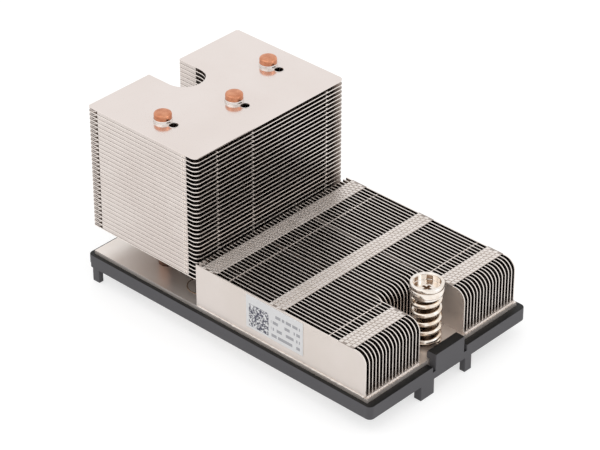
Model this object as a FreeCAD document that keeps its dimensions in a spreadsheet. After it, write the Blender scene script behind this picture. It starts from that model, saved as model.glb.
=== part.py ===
import FreeCAD, Part
import Sketcher
import math
import os
import re

# Passive heatsink for a rack server processor. A nickel-plated base plate sits in a moulded
# retention frame. It carries a low stack of upright fins, and three heat pipes that hold a
# tall tower of level fins. Two captive spring screws stand at the ends.
#
# +X runs from the tower to the low stack, +Z is up, and the origin is the centre of the
# contact pad's underside, midway between the two screws. All lengths are millimetres.

SIZES = {
    # base plate with its raised contact pad
    "screw_pitch": 104.14,
    "screw_edge": 7.53,
    "plate_wide": 70.8,
    "plate_thick": 4.0,
    "contact_long": 46.0,
    "contact_wide": 42.0,
    "contact_proud": 2.2,
    "screw_bore_radius": 3.4,
    "socket_deep": 2.0,
    # heat pipes
    "pipe_radius": 2.9,
    "pipe_side_x": -37.6,
    "pipe_side_y": 23.9,
    "pipe_mid_x": -29.7,
    "pipe_proud": 3.0,
    "pipe_tip_bevel": 0.5,
    # tower of level fins
    "tower_overhang": 1.7,
    "tower_right": -13.3,
    "tower_wide": 68.0,
    "tower_lift": 8.6,
    "tower_pitch": 1.53,
    "tower_fin_count": 30,
    "tower_sheet": 0.35,
    "tower_round": 3.0,
    "tower_bevel": 1.8,
    "notch_radius": 6.9,
    "flange_inset_left": 4.4,
    "flange_inset_right": 3.0,
    "solder_reach": 5.2,
    "solder_radius": 0.95,
    "solder_tail": 0.5,
    "solder_web": 0.45,
    # low stack of upright fins
    "low_gap": 0.3,
    "low_end_inset": 1.0,
    "low_side_inset": 0.2,
    "low_tall": 15.6,
    "low_fin_count": 47,
    "low_sheet": 0.4,
    "low_round": 4.0,
    "foot_thick": 0.4,
    "band_thick": 0.3,
    "band_wide": 6.1,
    "band_first": 2.7,
    "band_second": 31.6,
    "band_third": 60.4,
    "bay_reach": 9.07,
    "bay_wide": 20.9,
    "label_inset": 22.0,
    "label_long": 24.0,
    "label_low": 2.9,
    "label_tall": 12.1,
    "label_thick": 0.12,
    # retention frame
    "frame_clear": 0.1,
    "frame_wall_left": 1.7,
    "frame_wall_right": 2.6,
    "frame_wall_side": 1.5,
    "frame_corner": 1.8,
    "frame_rim_drop": 1.2,
    "frame_ledge": 2.0,
    "frame_shelf": 4.4,
    "frame_screw_radius": 5.5,
    "frame_screw_bridge": 4.57,
    "frame_step_in": 1.1,
    "frame_step_tall": 1.4,
    "hook_wide": 13.6,
    "hook_tall": 2.8,
    "hook_reach": 1.2,
    "hook_gap": 0.05,
    "hook_lead": 0.5,
    "slot_wide": 1.2,
    "slot_low": 3.2,
    "leg_drop": 5.3,
    "leg_front_left_y": -13.5,
    "leg_front_left_wide": 6.2,
    "leg_front_left_deep": 2.9,
    "leg_front_right_y": 7.3,
    "leg_front_right_wide": 3.2,
    "leg_front_right_deep": 2.2,
    "leg_rear_in": 1.5,
    "leg_rear_long": 3.0,
    "leg_rear_deep": 1.9,
    "leg_rear_inset": 0.5,
    # captive spring screws
    "spring_radius": 4.9,
    "spring_wire": 1.45,
    "spring_tall": 17.4,
    "spring_active_turns": 4.7,
    "spring_flat_turns": 0.5,
    "spring_seat_gap": 0.02,
    "washer_radius": 5.0,
    "washer_thick": 1.0,
    "shank_radius": 2.9,
    "shank_clear": 0.3,
    "head_radius": 5.45,
    "head_tall": 3.6,
    "head_wall": 0.9,
    "cup_deep": 2.3,
    "cross_long": 3.4,
    "cross_wide": 1.0,
    "cross_deep": 0.9,
    "clip_radius": 4.4,
    "clip_thick": 0.8,
    "clip_grip": 0.05,
    "clip_gap": 3.4,
    "thread_radius": 2.0,
    "thread_long": 5.0,
}

# Places that follow from the sizes above.
RULES = {
    "plate_low": "contact_proud",
    "plate_top": "contact_proud + plate_thick",
    "plate_side": "plate_wide / 2",
    "plate_end": "screw_pitch / 2 + screw_edge",
    "screw_x": "screw_pitch / 2",
    "tower_left": "-plate_end - tower_overhang",
    "tower_low": "plate_top + tower_lift",
    "tower_top": "tower_low + (tower_fin_count - 1) * tower_pitch + tower_sheet",
    "tower_flange": "tower_pitch - tower_sheet",
    "low_left": "tower_right + low_gap",
    "low_right": "plate_end - low_end_inset",
    "low_wide": "plate_wide - 2 * low_side_inset",
    "bay_end": "screw_x - bay_reach",
    "frame_low": "plate_low - frame_ledge",
    "frame_rim": "plate_top - frame_rim_drop",
    "frame_left": "-plate_end - frame_clear - frame_wall_left",
    "frame_right": "plate_end + frame_clear + frame_wall_right",
    "frame_side": "plate_side + frame_clear + frame_wall_side",
    "washer_low": "plate_top + spring_tall",
    "head_low": "washer_low + washer_thick",
    "head_top": "head_low + head_tall",
    "clip_low": "plate_low - clip_thick",
}

HEX = 6
TOP_HOLE_SIDES = 12
RING_SIDES = 16
WASHER_SIDES = 24
NOTCH_STEPS = 5
ROUND_STEPS = 2
NOSE_STEPS = 4
COIL_STEPS = 10


def bind(text):
    # Writes a rule out in the sheet's own cells.
    def word(match):
        name = match.group(0)
        if name in RULES:
            return "(" + bind(RULES[name]) + ")"
        if name in SIZES:
            return "Sizes." + name
        return name
    return re.sub(r"[a-z][a-z0-9_]*", word, text)


doc = FreeCAD.newDocument("ServerHeatsink")
sheet = doc.addObject("Spreadsheet::Sheet", "Sizes")
for row, (size_name, size_value) in enumerate(SIZES.items(), start=1):
    sheet.set("A%d" % row, size_name)
    sheet.set("B%d" % row, str(size_value))
    sheet.setAlias("B%d" % row, size_name)
doc.recompute()


def value(text):
    return float(sheet.evalExpression(bind(text)))


def new_body(name):
    body = doc.addObject("PartDesign::Body", name)
    body.Label = name
    return body


def new_sketch(body, name, role, offset=None):
    sketch = body.newObject("Sketcher::SketchObject", name)
    plane = [item for item in body.Origin.OriginFeatures if item.Role == role][0]
    sketch.AttachmentSupport = [(plane, "")]
    sketch.MapMode = "FlatFace"
    if offset:
        sketch.setExpression("AttachmentOffset.Base.z", bind(offset))
    return sketch


def add_loop(sketch, corners):
    # A closed loop of straight lines; each corner is a pair of rules for its two coordinates.
    first = sketch.GeometryCount
    start = sketch.ConstraintCount
    points = [FreeCAD.Vector(value(across), value(along), 0) for across, along in corners]
    total = len(points)
    lines = [Part.LineSegment(points[i], points[(i + 1) % total]) for i in range(total)]
    sketch.addGeometry(lines, False)
    ties = []
    for i in range(total):
        ties.append(Sketcher.Constraint("DistanceX", -1, 1, first + i, 1, points[i].x))
        ties.append(Sketcher.Constraint("DistanceY", -1, 1, first + i, 1, points[i].y))
    for i in range(total):
        ties.append(Sketcher.Constraint("Coincident", first + i, 2, first + (i + 1) % total, 1))
    sketch.addConstraint(ties)
    for i, (across, along) in enumerate(corners):
        sketch.setExpression("Constraints[%d]" % (start + 2 * i), bind(across))
        sketch.setExpression("Constraints[%d]" % (start + 2 * i + 1), bind(along))


def add_circle(sketch, across, along, radius):
    first = sketch.GeometryCount
    start = sketch.ConstraintCount
    centre = FreeCAD.Vector(value(across), value(along), 0)
    sketch.addGeometry(Part.Circle(centre, FreeCAD.Vector(0, 0, 1), value(radius)), False)
    sketch.addConstraint([
        Sketcher.Constraint("DistanceX", -1, 1, first, 3, centre.x),
        Sketcher.Constraint("DistanceY", -1, 1, first, 3, centre.y),
        Sketcher.Constraint("Radius", first, value(radius)),
    ])
    for i, rule in enumerate((across, along, radius)):
        sketch.setExpression("Constraints[%d]" % (start + i), bind(rule))


def add_many_sided(sketch, across, along, radius, sides):
    # A many-sided outline whose flats touch a circle of the given radius.
    points = []
    for i in range(sides):
        turn = 360.0 * (i + 0.5) / sides
        reach = "(%s) / cos(%s)" % (radius, 180.0 / sides)
        points.append((
            "%s + %s * cos(%s)" % (across, reach, turn), "%s + %s * sin(%s)" % (along, reach, turn)))
    add_loop(sketch, points)


def box_corners(left, low, right, high):
    return [(left, low), (right, low), (right, high), (left, high)]


def arc_points(across, along, radius, begin, end, steps):
    # Points along an arc, ends included.
    points = []
    for i in range(steps + 1):
        turn = begin + (end - begin) * i / steps
        points.append((
            "%s + (%s) * cos(%s)" % (across, radius, turn),
            "%s + (%s) * sin(%s)" % (along, radius, turn),
        ))
    return points


def pad(body, name, sketch, length, both_ways=False, down=False):
    feature = body.newObject("PartDesign::Pad", name)
    feature.Profile = sketch
    feature.setExpression("Length", bind(length))
    if both_ways:
        feature.SideType = "Symmetric"
    feature.Reversed = down
    sketch.Visibility = False
    return feature


def pocket(body, name, sketch, length, both_ways=False):
    feature = body.newObject("PartDesign::Pocket", name)
    feature.Profile = sketch
    feature.setExpression("Length", bind(length))
    if both_ways:
        feature.SideType = "Symmetric"
    return feature


def revolve(body, name, sketch):
    feature = body.newObject("PartDesign::Revolution", name)
    feature.Profile = sketch
    feature.ReferenceAxis = (sketch, ["V_Axis"])
    feature.Angle = 360.0
    return feature


def upright_edges(shape, half_long, half_wide):
    # Names of the upright edges that stand at the corners of a rectangle.
    names = []
    for i, edge in enumerate(shape.Edges, start=1):
        ends = [vertex.Point for vertex in edge.Vertexes]
        if len(ends) < 2 or abs(ends[0].z - ends[1].z) < 0.5:
            continue
        near_x = [abs(ends[0].x - side) < 0.01 for side in half_long]
        near_y = [abs(ends[0].y - side) < 0.01 for side in half_wide]
        if any(near_x) and any(near_y) and abs(ends[0].x - ends[1].x) < 0.01:
            names.append("Edge%d" % i)
    return names


def fillet(body, name, base, edges, radius):
    feature = body.newObject("PartDesign::Fillet", name)
    feature.Base = (base, edges)
    feature.setExpression("Radius", bind(radius))
    return feature


# ---- base plate ----
plate = new_body("base_plate")
outline = new_sketch(plate, "plate_outline", "XY_Plane", "plate_low")
add_loop(outline, box_corners("-plate_end", "-plate_side", "plate_end", "plate_side"))
pad(plate, "plate_slab", outline, "plate_thick")
outline = new_sketch(plate, "contact_outline", "XY_Plane")
add_loop(outline, box_corners(
    "-contact_long / 2", "-contact_wide / 2", "contact_long / 2", "contact_wide / 2"))
pad(plate, "contact_pad", outline, "contact_proud")
outline = new_sketch(plate, "screw_bore_outline", "XY_Plane", "plate_top")
add_circle(outline, "-screw_x", "0", "screw_bore_radius")
add_circle(outline, "screw_x", "0", "screw_bore_radius")
pocket(plate, "screw_bores", outline, "plate_thick")
outline = new_sketch(plate, "socket_outline", "XY_Plane", "plate_top")
add_many_sided(outline, "pipe_side_x", "-pipe_side_y", "pipe_radius", TOP_HOLE_SIDES)
add_many_sided(outline, "pipe_mid_x", "0", "pipe_radius", TOP_HOLE_SIDES)
add_many_sided(outline, "pipe_side_x", "pipe_side_y", "pipe_radius", TOP_HOLE_SIDES)
pocket(plate, "pipe_sockets", outline, "socket_deep")

# ---- heat pipes ----
PIPES = {
    "heat_pipe_1": ("pipe_side_x", "-pipe_side_y"),
    "heat_pipe_2": ("pipe_mid_x", "0"),
    "heat_pipe_3": ("pipe_side_x", "pipe_side_y"),
}
for pipe_name, (pipe_x, pipe_y) in PIPES.items():
    pipe = new_body(pipe_name)
    profile = new_sketch(pipe, pipe_name + "_profile", "XZ_Plane")
    pipe_tall = "tower_top + pipe_proud - plate_top + socket_deep"
    add_loop(profile, [
        ("0", "0"), ("pipe_radius", "0"), ("pipe_radius", pipe_tall + " - pipe_tip_bevel"),
        ("pipe_radius - pipe_tip_bevel", pipe_tall), ("0", pipe_tall)])
    revolve(pipe, pipe_name + "_turned", profile)
    pipe.setExpression("Placement.Base.x", bind(pipe_x))
    pipe.setExpression("Placement.Base.y", bind(pipe_y))
    pipe.setExpression("Placement.Base.z", bind("plate_top - socket_deep"))

# ---- tower fins ----
# Each fin is a level sheet with a round-ended notch for the rear screw. Its folded flanges
# stand on the sheet below. The lowest sheet has none.
def fin_corners():
    corners = [("tower_left", "-tower_wide / 2 + tower_bevel")]
    corners.append(("tower_left + tower_bevel", "-tower_wide / 2"))
    corners += arc_points(
        "tower_right - tower_round", "-tower_wide / 2 + tower_round", "tower_round", -90, 0, ROUND_STEPS)
    corners += arc_points(
        "tower_right - tower_round", "tower_wide / 2 - tower_round", "tower_round", 0, 90, ROUND_STEPS)
    corners.append(("tower_left + tower_bevel", "tower_wide / 2"))
    corners.append(("tower_left", "tower_wide / 2 - tower_bevel"))
    corners.append(("tower_left", "notch_radius"))
    corners += arc_points("-screw_x", "0", "notch_radius", 90, -90, NOTCH_STEPS)
    corners.append(("tower_left", "-notch_radius"))
    return corners


def add_solder_hole(sketch, across, along):
    # A round solder hole with a narrow tail towards the pipe.
    points = [(across + " + pipe_radius + solder_web", along + " - solder_tail / 2")]
    points += arc_points(across + " + solder_reach", along, "solder_radius", -140, 140, 7)
    points.append((across + " + pipe_radius + solder_web", along + " + solder_tail / 2"))
    add_loop(sketch, points)


fin_total = int(value("tower_fin_count"))
for number in range(1, fin_total + 1):
    fin_name = "tower_fin_%02d" % number
    fin = new_body(fin_name)
    outline = new_sketch(fin, fin_name + "_outline", "XY_Plane")
    add_loop(outline, fin_corners())
    is_top = number == fin_total
    for pipe_x, pipe_y in PIPES.values():
        add_many_sided(outline, pipe_x, pipe_y, "pipe_radius", TOP_HOLE_SIDES if is_top else HEX)
        if is_top:
            add_solder_hole(outline, pipe_x, pipe_y)
    pad(fin, fin_name + "_sheet", outline, "tower_sheet")
    if number > 1:
        outline = new_sketch(fin, fin_name + "_folds", "XY_Plane")
        fold_left = "tower_left + flange_inset_left"
        fold_right = "tower_right - flange_inset_right"
        add_loop(outline, box_corners(
            fold_left, "-tower_wide / 2", fold_right, "-tower_wide / 2 + tower_sheet"))
        add_loop(outline, box_corners(
            fold_left, "tower_wide / 2 - tower_sheet", fold_right, "tower_wide / 2"))
        pad(fin, fin_name + "_flanges", outline, "tower_flange", down=True)
    fin.setExpression("Placement.Base.z", bind("tower_low + %d * tower_pitch" % (number - 1)))

# ---- low fin stack ----
# Upright sheets soldered to one foot, tied along the top by three bands of locked tabs.
# The sheets facing the front screw end short, with the same round shoulder.
stack = new_body("low_fin_stack")
outline = new_sketch(stack, "foot_outline", "XY_Plane")
add_loop(outline, box_corners("low_left", "-low_wide / 2", "low_right", "low_wide / 2"))
pad(stack, "foot_sheet", outline, "foot_thick")
outline = new_sketch(stack, "band_outline", "XZ_Plane")
for band in ("band_first", "band_second", "band_third"):
    band_left = "low_left + " + band
    add_loop(outline, box_corners(
        band_left, "low_tall", band_left + " + band_wide", "low_tall + band_thick"))
pad(stack, "top_bands", outline, "low_wide", both_ways=True)
outline = new_sketch(stack, "low_fin_outline", "XZ_Plane", "low_wide / 2 - low_sheet")
shoulder = arc_points("low_right - low_round", "low_tall - low_round", "low_round", 0, 90, NOSE_STEPS)
add_loop(outline, [("low_left", "0"), ("low_right", "0")] + shoulder + [("low_left", "low_tall")])
low_fin = pad(stack, "low_fin", outline, "low_sheet")
row = stack.newObject("PartDesign::LinearPattern", "low_fin_row")
row.Originals = [low_fin]
row.Direction = ([item for item in stack.Origin.OriginFeatures if item.Role == "Y_Axis"][0], [""])
row.setExpression("Length", bind("low_wide - low_sheet"))
row.Occurrences = int(value("low_fin_count"))
stack.Tip = row
outline = new_sketch(stack, "bay_outline", "XZ_Plane")
shoulder = arc_points("bay_end - low_round", "low_tall - low_round", "low_round", 0, 90, NOSE_STEPS)
add_loop(outline, [("bay_end", "-1")] + shoulder[:-1] + [
    ("bay_end - low_round", "low_tall"), ("bay_end - low_round", "low_tall + 1"),
    ("low_right + 1", "low_tall + 1"), ("low_right + 1", "-1")])
pocket(stack, "screw_bay", outline, "bay_wide", both_ways=True)
stack.setExpression("Placement.Base.z", bind("plate_top"))

# ---- label ----
label = new_body("label")
outline = new_sketch(label, "label_outline", "XZ_Plane")
add_loop(outline, box_corners(
    "low_left + label_inset", "label_low",
    "low_left + label_inset + label_long", "label_low + label_tall"))
pad(label, "label_sheet", outline, "label_thick")
label.setExpression("Placement.Base.y", bind("-low_wide / 2"))
label.setExpression("Placement.Base.z", bind("plate_top"))

# ---- retention frame ----
frame = new_body("retention_frame")
outline = new_sketch(frame, "frame_outline", "XY_Plane", "frame_low")
add_loop(outline, box_corners("frame_left", "-frame_side", "frame_right", "frame_side"))
block = pad(frame, "frame_block", outline, "frame_rim - frame_low")
doc.recompute()
block_x = (value("frame_left"), value("frame_right"))
block_y = (value("-frame_side"), value("frame_side"))
fillet(frame, "frame_corners", block, upright_edges(block.Shape, block_x, block_y), "frame_corner")
outline = new_sketch(frame, "seat_outline", "XY_Plane", "frame_rim")
add_loop(outline, box_corners(
    "-plate_end - frame_clear", "-plate_side - frame_clear",
    "plate_end + frame_clear", "plate_side + frame_clear"))
pocket(frame, "plate_seat", outline, "frame_rim - plate_low")
outline = new_sketch(frame, "window_outline", "XY_Plane", "plate_low")
window_end = "(screw_x - frame_screw_radius - frame_screw_bridge)"
window_side = "(plate_side - frame_shelf)"
add_loop(outline, box_corners("-" + window_end, "-" + window_side, window_end, window_side))
add_many_sided(outline, "-screw_x", "0", "frame_screw_radius", RING_SIDES)
add_many_sided(outline, "screw_x", "0", "frame_screw_radius", RING_SIDES)
pocket(frame, "socket_window", outline, "frame_ledge")
outline = new_sketch(frame, "relief_outline", "XY_Plane", "frame_rim")
for wall_in, wall_out in (
        ("plate_end - 1", "frame_right + 1"), ("frame_left - 1", "-plate_end + 1")):
    add_loop(outline, box_corners(wall_in, "hook_wide / 2", wall_out, "hook_wide / 2 + slot_wide"))
    add_loop(outline, box_corners(wall_in, "-hook_wide / 2 - slot_wide", wall_out, "-hook_wide / 2"))
pocket(frame, "hook_reliefs", outline, "slot_low - frame_rim_drop")
outline = new_sketch(frame, "step_outline", "XY_Plane", "frame_low + frame_step_tall")
add_loop(outline, box_corners(
    "frame_left - 1", "-frame_side - 1", "frame_left + frame_step_in", "frame_side + 1"))
pocket(frame, "rear_step", outline, "frame_step_tall")
outline = new_sketch(frame, "hook_outline", "XZ_Plane")
for side, wall in ((1, "frame_right"), (-1, "frame_left")):
    edge = "%d * plate_end" % side
    back = "%s + %d * frame_clear" % (edge, side)
    nose = "%s - %d * hook_reach" % (edge, side)
    add_loop(outline, [
        (back, "plate_top - slot_low"),
        (wall, "plate_top - slot_low"),
        (wall, "plate_top + hook_tall"),
        ("%s + %d * hook_lead" % (nose, side), "plate_top + hook_tall"),
        (nose, "plate_top + hook_tall - hook_lead"),
        (nose, "plate_top + hook_gap"),
        (back, "plate_top + hook_gap"),
    ])
pad(frame, "end_hooks", outline, "hook_wide", both_ways=True)
outline = new_sketch(frame, "leg_outline", "XY_Plane", "frame_low")
add_loop(outline, box_corners(
    "frame_right - leg_front_left_deep", "leg_front_left_y",
    "frame_right", "leg_front_left_y + leg_front_left_wide"))
add_loop(outline, box_corners(
    "frame_right - leg_front_right_deep", "leg_front_right_y",
    "frame_right", "leg_front_right_y + leg_front_right_wide"))
for side in ("-1 * ", ""):
    outer = side + "(frame_side - leg_rear_inset)"
    inner = side + "(frame_side - leg_rear_inset - leg_rear_deep)"
    leg_left = "frame_left + leg_rear_in"
    add_loop(outline, box_corners(leg_left, outer, leg_left + " + leg_rear_long", inner))
pad(frame, "board_legs", outline, "leg_drop", down=True)

# ---- captive spring screws ----
def coil_shape():
    # A round-wire compression spring with closed ends, its wire six-sided.
    wire = value("spring_wire / 2")
    reach = value("spring_radius") - wire
    flat = value("spring_flat_turns")
    active = value("spring_active_turns")
    low = wire
    high = value("spring_tall - spring_seat_gap") - wire
    steps = int(round((active + 2 * flat) * COIL_STEPS))
    rings = []
    for i in range(steps + 1):
        turns = (active + 2 * flat) * i / steps
        rise = min(max((turns - flat) / active, 0.0), 1.0)
        centre_z = low + (high - low) * rise
        angle = 2 * math.pi * turns
        ring = []
        for k in range(HEX):
            spin = 2 * math.pi * (k + 0.5) / HEX
            out = reach + wire * math.cos(spin)
            ring.append(FreeCAD.Vector(
                out * math.cos(angle), out * math.sin(angle), centre_z + wire * math.sin(spin)))
        rings.append(ring)
    faces = []
    for lower, upper in zip(rings[:-1], rings[1:]):
        for k in range(HEX):
            n = (k + 1) % HEX
            for corners in ((lower[k], lower[n], upper[n]), (lower[k], upper[n], upper[k])):
                faces.append(Part.Face(Part.makePolygon(list(corners) + [corners[0]])))
    for ring in (rings[0], rings[-1]):
        faces.append(Part.Face(Part.makePolygon(ring + [ring[0]])))
    solid = Part.Solid(Part.makeShell(faces))
    if solid.Volume < 0:
        solid.reverse()
    return solid


def cross_corners(long, wide):
    # A plus-shaped outline round the axis.
    far = long + " / 2"
    near = wide + " / 2"
    return [
        ("-" + far, "-" + near), ("-" + near, "-" + near), ("-" + near, "-" + far),
        (near, "-" + far), (near, "-" + near), (far, "-" + near), (far, near),
        (near, near), (near, far), ("-" + near, far), ("-" + near, near), ("-" + far, near)]


for end_name, end_x in (("front", "screw_x"), ("rear", "-screw_x")):
    spring = doc.addObject("Part::Feature", end_name + "_spring")
    spring.Label = end_name + "_spring"
    spring.Shape = coil_shape()
    spring.setExpression("Placement.Base.x", bind(end_x))
    spring.setExpression("Placement.Base.z", bind("plate_top"))

    washer = new_body(end_name + "_washer")
    outline = new_sketch(washer, end_name + "_washer_outline", "XY_Plane")
    add_many_sided(outline, "0", "0", "washer_radius", WASHER_SIDES)
    add_many_sided(outline, "0", "0", "shank_radius + shank_clear", WASHER_SIDES)
    pad(washer, end_name + "_washer_disc", outline, "washer_thick")
    washer.setExpression("Placement.Base.x", bind(end_x))
    washer.setExpression("Placement.Base.z", bind("washer_low"))

    screw = new_body(end_name + "_screw")
    profile = new_sketch(screw, end_name + "_screw_profile", "XZ_Plane")
    tip_low = "clip_low - thread_long"
    cup = "head_radius - head_wall"
    add_loop(profile, [
        ("0", tip_low),
        ("thread_radius", tip_low),
        ("thread_radius", "clip_low"),
        ("shank_radius", "clip_low"),
        ("shank_radius", "head_low"),
        ("head_radius", "head_low"),
        ("head_radius", "head_top"),
        (cup, "head_top"),
        (cup, "head_top - cup_deep"),
        ("0", "head_top - cup_deep"),
    ])
    revolve(screw, end_name + "_screw_turned", profile)
    outline = new_sketch(screw, end_name + "_recess_outline", "XY_Plane", "head_top - cup_deep")
    add_loop(outline, cross_corners("cross_long", "cross_wide"))
    pocket(screw, end_name + "_cross_recess", outline, "cross_deep")
    screw.setExpression("Placement.Base.x", bind(end_x))

    # The snap ring under the plate keeps the screw in its bore.
    clip = new_body(end_name + "_clip")
    outline = new_sketch(clip, end_name + "_clip_outline", "XY_Plane")
    add_many_sided(outline, "0", "0", "clip_radius", RING_SIDES)
    add_many_sided(outline, "0", "0", "shank_radius + clip_grip", RING_SIDES)
    pad(clip, end_name + "_clip_ring", outline, "clip_thick")
    outline = new_sketch(clip, end_name + "_clip_mouth", "XY_Plane", "clip_thick")
    add_loop(outline, box_corners("0", "-clip_gap / 2", "clip_radius + 1", "clip_gap / 2"))
    pocket(clip, end_name + "_clip_opening", outline, "clip_thick")
    clip.setExpression("Placement.Base.x", bind(end_x))
    clip.setExpression("Placement.Base.z", bind("clip_low"))

doc.recompute()

# ---- state check and export ----
faults = [item.Name for item in doc.Objects if "Invalid" in item.State or "Error" in item.State]
pieces = [item for item in doc.Objects if item.TypeId in ("PartDesign::Body", "Part::Feature")]
for piece in pieces:
    if piece.Shape.isNull() or not piece.Shape.isValid() or not piece.Shape.Solids:
        faults.append(piece.Label)
if faults:
    raise RuntimeError("not built: " + ", ".join(faults))

os.makedirs("parts", exist_ok=True)
for piece in pieces:
    piece.Shape.exportStep("parts/%s.step" % piece.Label)
print("pieces written:", len(pieces))
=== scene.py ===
import math

import bpy
import bmesh
import numpy as np
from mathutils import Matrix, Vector
from mathutils.geometry import tessellate_polygon


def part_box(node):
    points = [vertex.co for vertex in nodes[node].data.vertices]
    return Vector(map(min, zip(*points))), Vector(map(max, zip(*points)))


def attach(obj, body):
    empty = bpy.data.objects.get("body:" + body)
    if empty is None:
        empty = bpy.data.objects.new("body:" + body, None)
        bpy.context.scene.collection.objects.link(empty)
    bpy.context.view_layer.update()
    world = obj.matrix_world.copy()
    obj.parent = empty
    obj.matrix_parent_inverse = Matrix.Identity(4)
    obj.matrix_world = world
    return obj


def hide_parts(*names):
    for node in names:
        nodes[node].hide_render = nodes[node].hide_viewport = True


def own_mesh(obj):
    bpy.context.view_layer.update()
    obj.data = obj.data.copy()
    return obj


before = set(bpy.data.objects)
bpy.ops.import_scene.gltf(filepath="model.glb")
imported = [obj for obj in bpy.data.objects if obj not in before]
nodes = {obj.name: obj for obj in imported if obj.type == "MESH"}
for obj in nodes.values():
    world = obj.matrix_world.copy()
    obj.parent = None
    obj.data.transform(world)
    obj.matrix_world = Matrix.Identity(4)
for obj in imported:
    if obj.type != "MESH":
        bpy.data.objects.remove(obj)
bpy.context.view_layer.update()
mm = 0.001
hairline = 0.01 * mm     # clearance between surfaces that would otherwise share a plane
weldReach = 1e-7         # metres: points nearer than this become one
nilLength = 1e-8         # metres: edges shorter than this are taken out
squareOn = 0.7           # least part of a normal along an axis for its face to count as facing it
print("stage: frame loaded")

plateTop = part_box("base_plate")[1][2]
towerLow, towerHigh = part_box("tower_fin_30")
stackLow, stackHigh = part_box("low_fin_stack")
finNames = sorted(name for name in nodes if name.startswith("tower_fin_"))
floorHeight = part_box("retention_frame")[0][2]


camera = {
    "target": (-5.24, 4.35, 15.0),    # mm, with the height counted from the base plate's top
    "distance": 872.05,
    "azimuth": 43.06,
    "elevation": 33.07,
    "lens": 163.27,
    "sensor": 36.0,
    "nearest": 0.01,
}


def linkObject(name, data):
    item = bpy.data.objects.new(name, data)
    bpy.context.scene.collection.objects.link(item)
    return item


def addCamera(settings):
    data = bpy.data.cameras.new("viewCamera")
    data.lens = settings["lens"]
    data.sensor_width = settings["sensor"]
    data.clip_start = settings["nearest"]
    item = linkObject("viewCamera", data)
    target = Vector(settings["target"]) * mm + Vector((0, 0, plateTop))
    turn = math.radians(settings["azimuth"])
    rise = math.radians(settings["elevation"])
    away = Vector((math.sin(turn) * math.cos(rise), -math.cos(turn) * math.cos(rise), math.sin(rise)))
    item.location = target + away * settings["distance"] * mm
    item.rotation_euler = (-away).to_track_quat("-Z", "Y").to_euler()
    bpy.context.scene.camera = item


light = {
    "worldStrength": 0.82, "worldColor": (1.0, 0.995, 0.99, 1.0),
    # each lamp's place, size and power
    "lamps": {"keyLamp": ((-0.25, -0.75, 1.25), 1.5, 2.2), "fillLamp": ((1.2, 0.35, 0.7), 0.7, 1.0)},
    "floorColor": 0.50, "floorGlow": 0.64, "floorReach": 6.0, "floorRough": 0.9,
}


def addLamp(name, place, size, power):
    data = bpy.data.lights.new(name, "AREA")
    data.shape = "DISK"
    data.size = size
    data.energy = power
    item = linkObject(name, data)
    item.location = place
    item.rotation_euler = (-Vector(place)).to_track_quat("-Z", "Y").to_euler()


def addNode(tree, kind, **values):
    # Each value goes to the input of that name, or else to the property of that name.
    node = tree.nodes.new(kind)
    for key, setting in values.items():
        if key in node.inputs:
            node.inputs[key].default_value = setting
        else:
            setattr(node, key, setting)
    return node


def joinSockets(tree, *pairs):
    for source, target in pairs:
        tree.links.new(source, target)


def newMaterial(name):
    material = bpy.data.materials.new(name)
    material.use_nodes = True
    return material, material.node_tree, material.node_tree.nodes["Principled BSDF"]


def seenRays(tree):
    # One for every ray that meets the pale surroundings straight, in a mirror or through glass.
    path = addNode(tree, "ShaderNodeLightPath")
    share = path.outputs["Is Camera Ray"]
    for kind in ("Is Glossy Ray", "Is Transmission Ray"):
        larger = addNode(tree, "ShaderNodeMath", operation="MAXIMUM")
        joinSockets(tree, (share, larger.inputs[0]), (path.outputs[kind], larger.inputs[1]))
        share = larger.outputs[0]
    return share


def addStudio(settings):
    scene = bpy.context.scene
    scene.view_settings.view_transform = "Standard"
    world = bpy.data.worlds.new("paleRoom")
    world.use_nodes = True
    scene.world = world
    tree = world.node_tree
    backdrop = tree.nodes["Background"]
    backdrop.inputs["Color"].default_value = settings["worldColor"]
    backdrop.inputs["Strength"].default_value = settings["worldStrength"]
    seen = addNode(tree, "ShaderNodeBackground", Color=(1, 1, 1, 1))
    mix = addNode(tree, "ShaderNodeMixShader")
    joinSockets(
        tree,
        (seenRays(tree), mix.inputs[0]),
        (backdrop.outputs[0], mix.inputs[1]),
        (seen.outputs[0], mix.inputs[2]),
        (mix.outputs[0], tree.nodes["World Output"].inputs["Surface"]))
    for name, lamp in settings["lamps"].items():
        addLamp(name, *lamp)

    reach = settings["floorReach"]
    corners = [(x * reach, y * reach, floorHeight) for x, y in ((-1, -1), (1, -1), (1, 1), (-1, 1))]
    mesh = bpy.data.meshes.new("floor")
    mesh.from_pydata(corners, [], [(0, 1, 2, 3)])
    floor = linkObject("floor", mesh)
    material, tree, base = newMaterial("paleFloor")
    pale = settings["floorColor"]
    base.inputs["Base Color"].default_value = (pale, pale, pale, 1)
    base.inputs["Roughness"].default_value = settings["floorRough"]
    glow = addNode(tree, "ShaderNodeEmission")
    lift = addNode(tree, "ShaderNodeMath", operation="MULTIPLY")
    lift.inputs[1].default_value = settings["floorGlow"]
    both = addNode(tree, "ShaderNodeAddShader")
    joinSockets(
        tree,
        (seenRays(tree), lift.inputs[0]),
        (lift.outputs[0], glow.inputs["Strength"]),
        (base.outputs[0], both.inputs[0]),
        (glow.outputs[0], both.inputs[1]),
        (both.outputs[0], tree.nodes["Material Output"].inputs["Surface"]))
    mesh.materials.append(material)


addCamera(camera)
addStudio(light)
print("stage: camera and light")


def gridFaces(rows, columns, wrapRows, wrapColumns):
    # Quads between the points of a rows by columns grid; a wrapped direction closes on itself.
    i, j = np.meshgrid(np.arange(rows if wrapRows else rows - 1),
                       np.arange(columns if wrapColumns else columns - 1), indexing="ij")
    down, right = (i + 1) % rows, (j + 1) % columns
    quads = [i * columns + j, down * columns + j, down * columns + right, i * columns + right]
    return np.stack(quads, axis=-1).reshape(-1, 4)


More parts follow.
